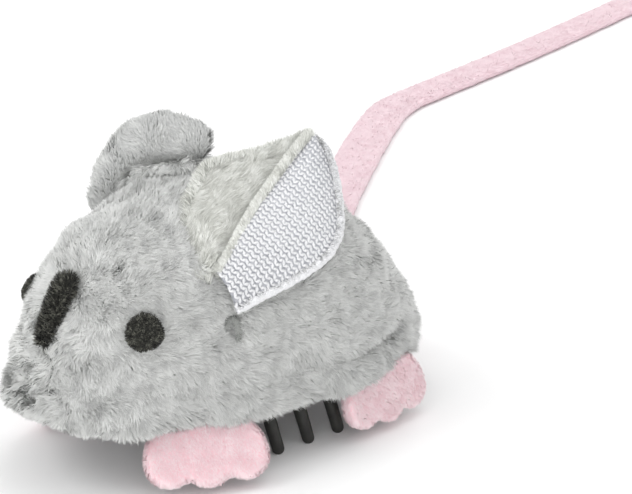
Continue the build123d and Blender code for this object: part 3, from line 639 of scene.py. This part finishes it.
for q in fibres("ear_left_tack_shade", P, N, F, 1.1, 0.75, 0.13, CREASE_SHADE, 132, clump=0.4, per_clump=8, wild=0.5, sink=0.1, shade_wave=1.0):
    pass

# ------------------------------------------------------------------ eyes and nose strip
def pom(name, centre, normal, r, height, nodes, seed):
    n = norm(np.array(normal, float))
    a = norm(np.cross(n, [0, 0, 1.0]))
    b = np.cross(n, a)
    pts = []
    R, S = 18, 40
    for i in range(R + 1):
        t = i / R * 0.62 * math.pi
        for j in range(S):
            f = 2 * math.pi * j / S
            q = r * math.sin(t) * (1 + 0.03 * math.sin(3 * f + seed))
            pts.append(centre + a * q * math.cos(f) + b * q * math.sin(f) + n * (height * math.cos(t)))
    pts = np.array(pts)
    pts += norm(pts - centre) * (sines(pts, 2.4, seed) * 0.08)[:, None]
    o = mesh_object(name, pts, grid_faces(R + 1, S, close_v=True))
    if Vector(n).dot(o.data.vertices[S + 2].normal) < 0:
        o.data.flip_normals()
    o.data.materials.append(felt)
    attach(o, "mouse")
    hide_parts(*nodes)
    P, N = surface_samples(o.data, 40, seed)
    F = tangent(np.random.default_rng(seed).normal(size=(len(P), 3)), N)
    for q in fibres(name + "_pile", P, N, F, 0.75, 0.5, 0.11, BLACK, seed + 1, clump=0.4, per_clump=7, wild=0.5, sink=0.1, shade_wave=1.2):
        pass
    return o


pom("eye_l", EYE_C + EYE_N * 0.4, EYE_N, 2.8, 1.8, ["eye_left"], 201)
EN2 = EYE_N * [-1, 1, 1]
pom("eye_r", EYE_R + EN2 * 0.2, EN2, 2.7, 1.7, ["eye_right"], 211)

nd = norm(NOSE_B - NOSE_A)
nn = norm(np.array([0, -nd[2], nd[1]]))
pts = []
R, S = 40, 26
for i in range(R + 1):
    t = i / R
    end = math.sqrt(max(0.0, 1 - abs(2 * t - 1) ** 5))
    w = (1.25 + 0.95 * t) * end + 0.02
    cpt = NOSE_A + (NOSE_B - NOSE_A) * t + nn * (0.7 + 0.35 * math.sin(math.pi * t))
    for j in range(S):
        f = 2 * math.pi * j / S
        pts.append(cpt + np.array([1, 0, 0]) * w * math.cos(f) + nn * 1.05 * end * math.sin(f))
pts = np.array(pts)
strip = mesh_object("nose_felt", pts, grid_faces(R + 1, S, close_v=True))
mid = (R // 2) * S + S // 4
if np.dot(np.array(strip.data.vertices[mid].normal), nn) < 0:
    strip.data.flip_normals()
strip.data.materials.append(felt)
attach(strip, "mouse")
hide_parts("nose_strip")
P, N = surface_samples(strip.data, 36, 221)
F = tangent(np.random.default_rng(221).normal(size=(len(P), 3)) + nd * 0.8, N)
for q in fibres("nose_pile", P, N, F, 1.25, 0.4, 0.11, BLACK, 222, clump=0.4, per_clump=7, wild=0.5, sink=0.1, shade_wave=1.2):
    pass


# ------------------------------------------------------------------ paws
def soft_copy(node, name, voxel_mm, mat_, smooth_times=3):
    """A soft form from the CAD solid: remeshed fine and relaxed."""
    o = bpy.data.objects.new(name, NODES[node].data.copy())
    COLL.objects.link(o)
    o.data.materials.clear()
    m = o.modifiers.new("remesh", "REMESH")
    m.mode = "VOXEL"
    m.voxel_size = voxel_mm * MM
    s = o.modifiers.new("relax", "SMOOTH")
    s.factor, s.iterations = 0.6, smooth_times
    dg = bpy.context.evaluated_depsgraph_get()
    me = bpy.data.meshes.new_from_object(o.evaluated_get(dg))
    o.modifiers.clear()
    o.data = me
    me.materials.clear()
    me.materials.append(mat_)
    me.polygons.foreach_set("use_smooth", [True] * len(me.polygons))
    me.polygons.foreach_set("material_index", [0] * len(me.polygons))
    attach(o, "mouse")
    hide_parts(node)
    return o


def grow(o, mm):
    """Moves every point of a closed form along its normal."""
    me = o.data
    co = np.zeros(len(me.vertices) * 3, np.float32)
    me.vertices.foreach_get("co", co)
    no = np.zeros(len(me.vertices) * 3, np.float32)
    me.vertices.foreach_get("normal", no)
    me.vertices.foreach_set("co", co + no * np.float32(mm * MM))
    me.update()


PAWS = {"paw_front_left": (66, 52), "paw_front_right": (-66, 52), "paw_rear_left": (97, 72), "paw_rear_right": (-97, 72)}
for k, (node, (az, slope)) in enumerate(PAWS.items()):
    o = soft_copy(node, node + "_pad", 0.45, paw_cloth, 4)
    grow(o, -0.35)
    a, s = math.radians(az), math.radians(slope)
    down = np.array([math.sin(a) * math.cos(s), -math.cos(a) * math.cos(s), -math.sin(s)])
    me = o.data
    co = np.zeros(len(me.vertices) * 3, np.float32)
    me.vertices.foreach_get("co", co)
    co = co.reshape(-1, 3)
    reach = -(co @ down) / MM
    reach -= reach.min()
    co -= (down * MM)[None, :] * (1.6 * smooth(reach, 3.5, 9.0))[:, None]
    me.vertices.foreach_set("co", co.reshape(-1).astype(np.float32))
    me.update()
    P, N = surface_samples(o.data, 48, 301 + k)
    a, s = math.radians(az), math.radians(slope)
    down = np.array([math.sin(a) * math.cos(s), -math.cos(a) * math.cos(s), -math.sin(s)])
    lift = P[:, 2] > 0.9
    F = tangent(np.broadcast_to(down, P.shape) + np.random.default_rng(300 + k).normal(size=P.shape) * 0.25, N)
    L = np.where(lift, 0.85, 0.45)
    ok = N[:, 2] > -0.75
    for q in fibres(node + "_nap", P[ok], N[ok], F[ok], L[ok], 0.6, 0.10, PINK, 311 + k, clump=0.2, per_clump=9,
                    wild=0.5, sink=0.1, shade_wave=3.0, root_shade=False, soft=0.93):
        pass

# ------------------------------------------------------------------ folded ear
def along(pts, t):
    """A smooth line through the points, read at t from 0 to 1 by length."""
    d = np.concatenate([[0], np.cumsum(np.linalg.norm(np.diff(pts, axis=0), axis=1))])
    d /= d[-1]
    sl = np.gradient(pts, d, axis=0)
    i = np.clip(np.searchsorted(d, t) - 1, 0, len(d) - 2)
    h = (d[i + 1] - d[i])[:, None]
    s = ((t - d[i]) / (d[i + 1] - d[i]))[:, None]
    return ((2 * s**3 - 3 * s**2 + 1) * pts[i] + (s**3 - 2 * s**2 + s) * h * sl[i]
            + (-2 * s**3 + 3 * s**2) * pts[i + 1] + (s**3 - s**2) * h * sl[i + 1])


def shell(name, A, B, height, thick, nu=90, nv=44, EAR_N=EAR_N):
    """A thin padded sheet between two edge lines, raised by height(s, t) along the ear's normal."""
    t = np.linspace(0, 1, nu)
    a, b = along(A, t), along(B, t)
    rows = []
    for s in np.linspace(0, 1, nv):
        rows.append(a * (1 - s) + b * s + EAR_N * height(s, t)[:, None])
    top = np.stack(rows, axis=1)
    edge = np.sin(np.linspace(0, 1, nv) * math.pi) ** 0.35
    endt = np.clip(np.minimum(t, 1 - t) * 14, 0, 1) ** 0.5
    low = top - EAR_N * (thick * np.maximum(edge[None, :] * endt[:, None], 0.02))[:, :, None]
    V = np.concatenate([top.reshape(-1, 3), low.reshape(-1, 3)])
    f = grid_faces(nu, nv)
    off = nu * nv
    f += [tuple(off + k for k in q[::-1]) for q in grid_faces(nu, nv)]
    ring = [i * nv for i in range(nu)] + [(nu - 1) * nv + j for j in range(1, nv)] + \
           [i * nv + nv - 1 for i in range(nu - 2, -1, -1)] + [j for j in range(nv - 2, 0, -1)]
    for p, q in zip(ring, ring[1:] + ring[:1]):
        f.append((p, off + p, off + q, q))
    o = mesh_object(name, V, f)
    mid_ = o.data.vertices[(nu // 2) * nv + nv // 2].normal
    if np.dot(np.array(mid_), EAR_N) < 0:
        o.data.flip_normals()
    return o, top


# ------------------------------------------------------------------ stuffing
stuffing = soft_copy("fibre_stuffing", "stuffing", 0.8, wadding, 2)
skin_tree = BVHTree.FromPolygons([v.co[:] for v in cover.data.vertices], [tuple(p.vertices) for p in cover.data.polygons])
for v in stuffing.data.vertices:
    loc, no, _, _ = skin_tree.find_nearest(v.co)
    out_by = (v.co - loc).dot(no)
    if out_by > -0.0009 and v.co.z > 0.0135:
        v.co = loc - no * 0.0009
    if v.co.y < -0.027:
        v.co.z = max(v.co.z, (float(hem_z(v.co.y / MM)) + 1.6) * MM)
stuffing.data.update()

# ------------------------------------------------------------------ standing ear
FAR_N = norm(np.array([0.42, -0.88, 0.22]))
FB = np.array([(-19.6, -10.2, 37.6), (-19.5, -9.3, 41.2), (-19.1, -8.4, 44.4), (-18.2, -7.1, 47.4), (-17.1, -5.9, 49.8), (-15.4, -4.7, 51.7),
               (-12.7, -2.9, 53.3), (-9.6, -1.1, 54.2), (-6.3, 0.5, 54.1), (-3.8, 1.5, 53.3), (-1.9, 2.3, 52.2)])
FA = np.array([(-17.29, -9.45, 36.02), (-15.52, -8.15, 37.86), (-13.97, -6.7, 40.7), (-11.98, -5.16, 43.07), (-9.88, -3.73, 44.76),
               (-7.34, -2.25, 45.84), (-5.11, -0.97, 46.7), (-2.9, 0.28, 47.4), (-1.7, 1.3, 48.6), (-1.5, 1.95, 50.3), (-1.6, 2.2, 51.8)])
ear, _ = shell("ear_right_form", FA, FB, lambda s, t: 1.9 * math.sin(math.pi * s) ** 0.8 * np.sin(np.pi * np.clip(t, 0, 1)) ** 0.7 - 0.8 * s,
               2.2, EAR_N=FAR_N)
ear.data.materials.append(backing)
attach(ear, "mouse")
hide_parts("ear_right")
P, N = surface_samples(ear.data, 42, 401)
F = tangent(np.broadcast_to(np.array([-0.35, -0.1, 0.9]), P.shape) * 1.0, N)
B = np.cross(N, F)
turn = sines(P, 5.0, 402) * 0.5
F = F * np.cos(turn)[:, None] + B * np.sin(turn)[:, None]
# painted shade: the far ear's pile is a darker copy of the body pile, darker still towards its upper end
tone = -1.5 - 0.5 * smooth((P - FA[0]) @ norm(FA[-1] - FA[0]), 7, 19)
for q in fibres("ear_right_fur", P, N, F, 1.8, 0.6, 0.11, GREY, 403, clump=0.34, per_clump=18, wild=0.4, tone_add=tone):
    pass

# the pinched fold in front of it
ROLL = np.array([(-12.2, -8.2, 42.6), (-9.65, -6.64, 44.7), (-7.3, -5.3, 45.9), (-4.58, -3.8, 46.9), (-1.98, -2.5, 47.5), (1.2, -0.8, 47.7)])
tt = np.linspace(0, 1, 50)
cl = along(ROLL, tt)
tg = norm(np.gradient(cl, axis=0))
sd = norm(np.cross(tg, np.array([0, 0, 1.0])))
up_ = norm(np.cross(sd, tg))
rr = 1.45 * np.clip(np.minimum(tt, 1 - tt) * 6, 0.05, 1) ** 0.6
V = []
for p, a_, c_, q in zip(cl, sd, up_, rr):
    for j in range(20):
        f = 2 * math.pi * j / 20
        V.append(p + a_ * q * math.cos(f) + c_ * q * 0.9 * math.sin(f))
fold = mesh_object("ear_right_fold", V, grid_faces(50, 20, close_v=True))
if np.dot(np.array(fold.data.vertices[25 * 20 + 5].normal), up_[25]) < 0:
    fold.data.flip_normals()
fold.data.materials.append(backing)
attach(fold, "mouse")
P, N = surface_samples(fold.data, 42, 411)
F = tangent(np.broadcast_to(np.array([0.5, -0.3, -0.6]), P.shape) * 1.0, N)
B = np.cross(N, F)
turn = sines(P, 4.0, 412) * 0.6
F = F * np.cos(turn)[:, None] + B * np.sin(turn)[:, None]
# only the lighter shades and no darker roots: painted light on the roll
for q in fibres("ear_right_fold_fur", P, N, F, 1.9, 0.6, 0.10, GREY[1:], 413, clump=0.34, per_clump=18, wild=0.4, root_shade=False, soft=0.9):
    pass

# the open half, pile side out: it swells up next to the turned-over half
fur_half, top_f = shell("ear_left_open", LB, MB, lambda s, t: -0.6 + 1.6 * math.sin(math.pi * min(1, s * 0.9 + 0.1)) ** 1.2 + 0.9 * s
                        + 0 * t, 2.6)
fur_half.data.materials.append(backing)
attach(fur_half, "mouse")
# the turned-over half, white knitted back out
knit_half, top_k = shell("ear_left_knit", MB, RB, lambda s, t: 1.7 + 0.9 * math.sin(math.pi * s) - 1.6 * s ** 3 + 0.35 * np.sin(t * 5.0), 1.3)
# its grey ground is painted shade between the stitches
knit_half.data.materials.append(knit_gap_shade)
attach(knit_half, "mouse")
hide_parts("ear_left")

# stitches: zigzag yarns across the cloth, one under the other
tk = top_k.reshape(-1, 3)
uv = np.stack([(tk - MB[0]) @ ALONG, (tk - MB[0]) @ ACROSS], axis=1)
hgt = (tk - MB[0]) @ EAR_N
tree = KDTree(len(uv))
for i, q in enumerate(uv):
    tree.insert((q[0], q[1], 0), i)
tree.balance()
nu_, nv_ = top_k.shape[:2]
ring = np.concatenate([uv.reshape(nu_, nv_, 2)[:, 0], uv.reshape(nu_, nv_, 2)[-1, 1:], uv.reshape(nu_, nv_, 2)[::-1, -1][1:], uv.reshape(nu_, nv_, 2)[0, ::-1][1:]])


def inside(q):
    x, y = q
    xs, ys_ = ring[:, 0], ring[:, 1]
    x2, y2 = np.roll(xs, -1), np.roll(ys_, -1)
    hit = ((ys_ > y) != (y2 > y)) & (x < (x2 - xs) * (y - ys_) / np.where(np.abs(y2 - ys_) < 1e-9, 1e-9, y2 - ys_) + xs)
    return hit.sum() % 2 == 1


ROW, PER, AMP, YR = 0.90, 1.24, 0.33, 0.125
yv, yf = [], []
r_ = np.random.default_rng(77)
for k in range(-14, 46):
    u0 = k * ROW
    pts2 = []
    for m in range(-16, 190):
        v_ = m * PER / 8
        tri = (-1, -0.55, 0, 0.55, 1, 0.55, 0, -0.55)[m % 8]
        pts2.append((u0 - 0.16 * v_ + AMP * tri * r_.uniform(0.85, 1.15) + r_.normal() * 0.045, v_ + r_.normal() * 0.03, 1 - abs(tri)))
    seg, fat = [], []
    for q in pts2 + [None]:
        good = q is not None and inside(q[:2])
        if good:
            near = tree.find_n((q[0], q[1], 0), 4)
            fat.append((YR + 0.20 * q[2]) * r_.uniform(0.88, 1.1))
            w_ = np.array([1 / (d + 1e-3) for _, _, d in near])
            hh = float(np.sum(w_ * hgt[[i for _, i, _ in near]]) / w_.sum())
            seg.append(MB[0] + ALONG * q[0] + ACROSS * q[1] + EAR_N * (hh + 0.10))
        elif seg:
            if len(seg) > 3:
                s_ = np.array(seg)
                lift = np.zeros(len(s_))
                tg = norm(np.gradient(s_, axis=0))
                sd = norm(np.cross(tg, EAR_N))
                up = norm(np.cross(sd, tg))
                b0 = len(yv)
                for p, a_, c_, rad in zip(s_, sd, up, fat):
                    for j in range(6):
                        f = 2 * math.pi * j / 6
                        yv.append(p + a_ * rad * math.cos(f) + c_ * rad * 0.85 * math.sin(f))
                for i in range(len(s_) - 1):
                    for j in range(6):
                        j2 = (j + 1) % 6
                        yf.append((b0 + i * 6 + j, b0 + i * 6 + j2, b0 + (i + 1) * 6 + j2, b0 + (i + 1) * 6 + j))
            seg, fat = [], []
yarn = mesh_object("ear_left_stitches", yv, yf)
yarn.data.materials.append(knit_yarn)
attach(yarn, "mouse")

# the fold line itself, a soft turn of the cloth
tt = np.linspace(0, 1, 110)
cl = along(MB, tt) + EAR_N * 1.45
tg = norm(np.gradient(cl, axis=0))
sd = norm(np.cross(tg, np.broadcast_to(EAR_N, tg.shape)))
V = []
for i, (p, a_) in enumerate(zip(cl, sd)):
    q = (0.36 + 0.04 * math.sin(i * 0.9)) * min(1, 0.3 + min(i, 109 - i) * 0.12)
    for j in range(12):
        f = 2 * math.pi * j / 12
        V.append(p + a_ * q * math.cos(f) + EAR_N * q * math.sin(f))
turned = mesh_object("ear_left_fold_roll", V, grid_faces(110, 12, close_v=True))
turned.data.materials.append(knit_yarn)
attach(turned, "mouse")

# its edge, rolled under
tt = np.linspace(0, 1, 120)
cl = along(RB, tt) + EAR_N * 0.35
tg = norm(np.gradient(cl, axis=0))
sd = norm(np.cross(tg, np.broadcast_to(EAR_N, tg.shape)))
V = []
for i, (p, a_) in enumerate(zip(cl, sd)):
    q = (0.72 + 0.06 * math.sin(i * 1.9) + 0.05 * math.sin(i * 0.7)) * min(1, 0.3 + min(i, 119 - i) * 0.12)
    for j in range(12):
        f = 2 * math.pi * j / 12
        V.append(p + a_ * q * math.cos(f) + EAR_N * q * math.sin(f))
roll = mesh_object("ear_left_rolled_edge", V, grid_faces(120, 12, close_v=True))
roll.data.materials.append(knit_yarn)
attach(roll, "mouse")

# pile of the open half, combed along the ear
P, N = surface_samples(fur_half.data, 54, 501)
dist_m = seg_dist(P, MB[0], MB[-1])
ok = (N @ EAR_N) > -0.3
P, N = P[ok], N[ok]
F = tangent(np.broadcast_to(ALONG * 0.85 + ACROSS * 0.3, P.shape) * 1.0, N)
B = np.cross(N, F)
turn = sines(P, 6.0, 502) * 0.35 + sines(P, 2.6, 503) * 0.2
F = F * np.cos(turn)[:, None] + B * np.sin(turn)[:, None]
for q in fibres("ear_left_fur", P, N, F, 2.7, 0.82, 0.10, WARM, 504, clump=0.45, per_clump=30, wild=0.25, soft=0.88, tone_add=-0.5):
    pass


def rim(name, pts, outward, per_mm, length, mats, seed, spread=0.5, lift=0.4, flat=False):
    """A soft fringe of pile along an edge."""
    r = np.random.default_rng(seed)
    total = float(np.sum(np.linalg.norm(np.diff(pts, axis=0), axis=1)))
    n = int(total * per_mm)
    t = r.random(n)
    c = along(pts, t)
    c2 = along(pts, np.clip(t + 0.01, 0, 1)) - along(pts, np.clip(t - 0.01, 0, 1))
    tg = norm(c2)
    o_ = norm(np.cross(tg, EAR_N))
    sgn = np.sign(np.sum(o_ * outward, axis=1))[:, None]
    o_ = o_ * sgn
    ang = r.normal(size=n) * spread
    Nn = norm(o_ * np.cos(ang)[:, None] + EAR_N * (np.sin(ang) + lift)[:, None])
    P = c + EAR_N * r.uniform(-0.7, 0.7, n)[:, None] + o_ * r.uniform(-0.7, 0.2, n)[:, None]
    F = tangent(tg * r.choice([-1, 1], n)[:, None] + r.normal(size=(n, 3)) * 0.4, Nn)
    if flat:
        Nn = norm(EAR_N + o_ * 0.3 + r.normal(size=(n, 3)) * 0.12)
        P = P - o_ * 0.5 * length
        F = tangent(o_ + tg * 0.5 + r.normal(size=(n, 3)) * 0.3, Nn)
    for q in fibres(name, P, Nn, F, length, 0.85 if flat else 0.45, 0.12 if flat else 0.15, mats, seed, clump=0.3, per_clump=6, wild=0.4, sink=0.1, root_shade=False):
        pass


rim("ear_fold_edge", MB + EAR_N * 1.75 - ACROSS * 0.35, -ACROSS, 230, 1.2, WARM[1:], 521, flat=True)
rim("ear_left_far_edge", LB + EAR_N * 0.5, -ACROSS, 130, 2.6, WARM, 541, flat=True)
rim("ear_outer_edge", RB + EAR_N * 0.5, ACROSS, 110, 0.55, PALE[1:], 531, spread=0.35, lift=0.5)

# ------------------------------------------------------------------ floor and light
me = bpy.data.meshes.new("floor")
S_ = 6.0
me.from_pydata([(-S_, -S_, 0), (S_, -S_, 0), (S_, S_, 0), (-S_, S_, 0)], [], [(0, 1, 2, 3)])
floor = bpy.data.objects.new("floor", me)
COLL.objects.link(floor)
floor.data.materials.append(procedural("floor_paper", lin(244, 244, 244), lin(247, 247, 247), 30, (0.9, 0.95), 0.02, 400))

world = bpy.data.worlds.new("world")
bpy.context.scene.world = world
world.use_nodes = True
world.node_tree.nodes["Background"].inputs["Color"].default_value = (1, 1, 1, 1)
world.node_tree.nodes["Background"].inputs["Strength"].default_value = 0.92


def area(name, loc, target, size, watts):
    d = bpy.data.lights.new(name, "AREA")
    d.shape = "DISK"
    d.size = size
    d.energy = watts
    o = bpy.data.objects.new(name, d)
    COLL.objects.link(o)
    o.location = loc
    o.rotation_mode = "QUATERNION"
    o.rotation_quaternion = (Vector(target) - Vector(loc)).to_track_quat("-Z", "Y")
    return o


area("key", (-0.15, -0.55, 0.65), (0, 0, 0.02), 0.35, 1.3)
area("front", (0.42, -0.36, 0.07), (0.0, 0.0, 0.015), 0.4, 1.25)
area("low_front", (0.06, -0.60, 0.12), (0.0, -0.02, 0.02), 0.45, 1.0)
area("top", (0.15, 0.1, 0.8), (0, 0, 0.02), 0.5, 0.7)
area("back", (-0.35, 0.75, 0.45), (0, 0.02, 0.02), 0.5, 1.6)
bpy.context.scene.view_settings.view_transform = "Standard"
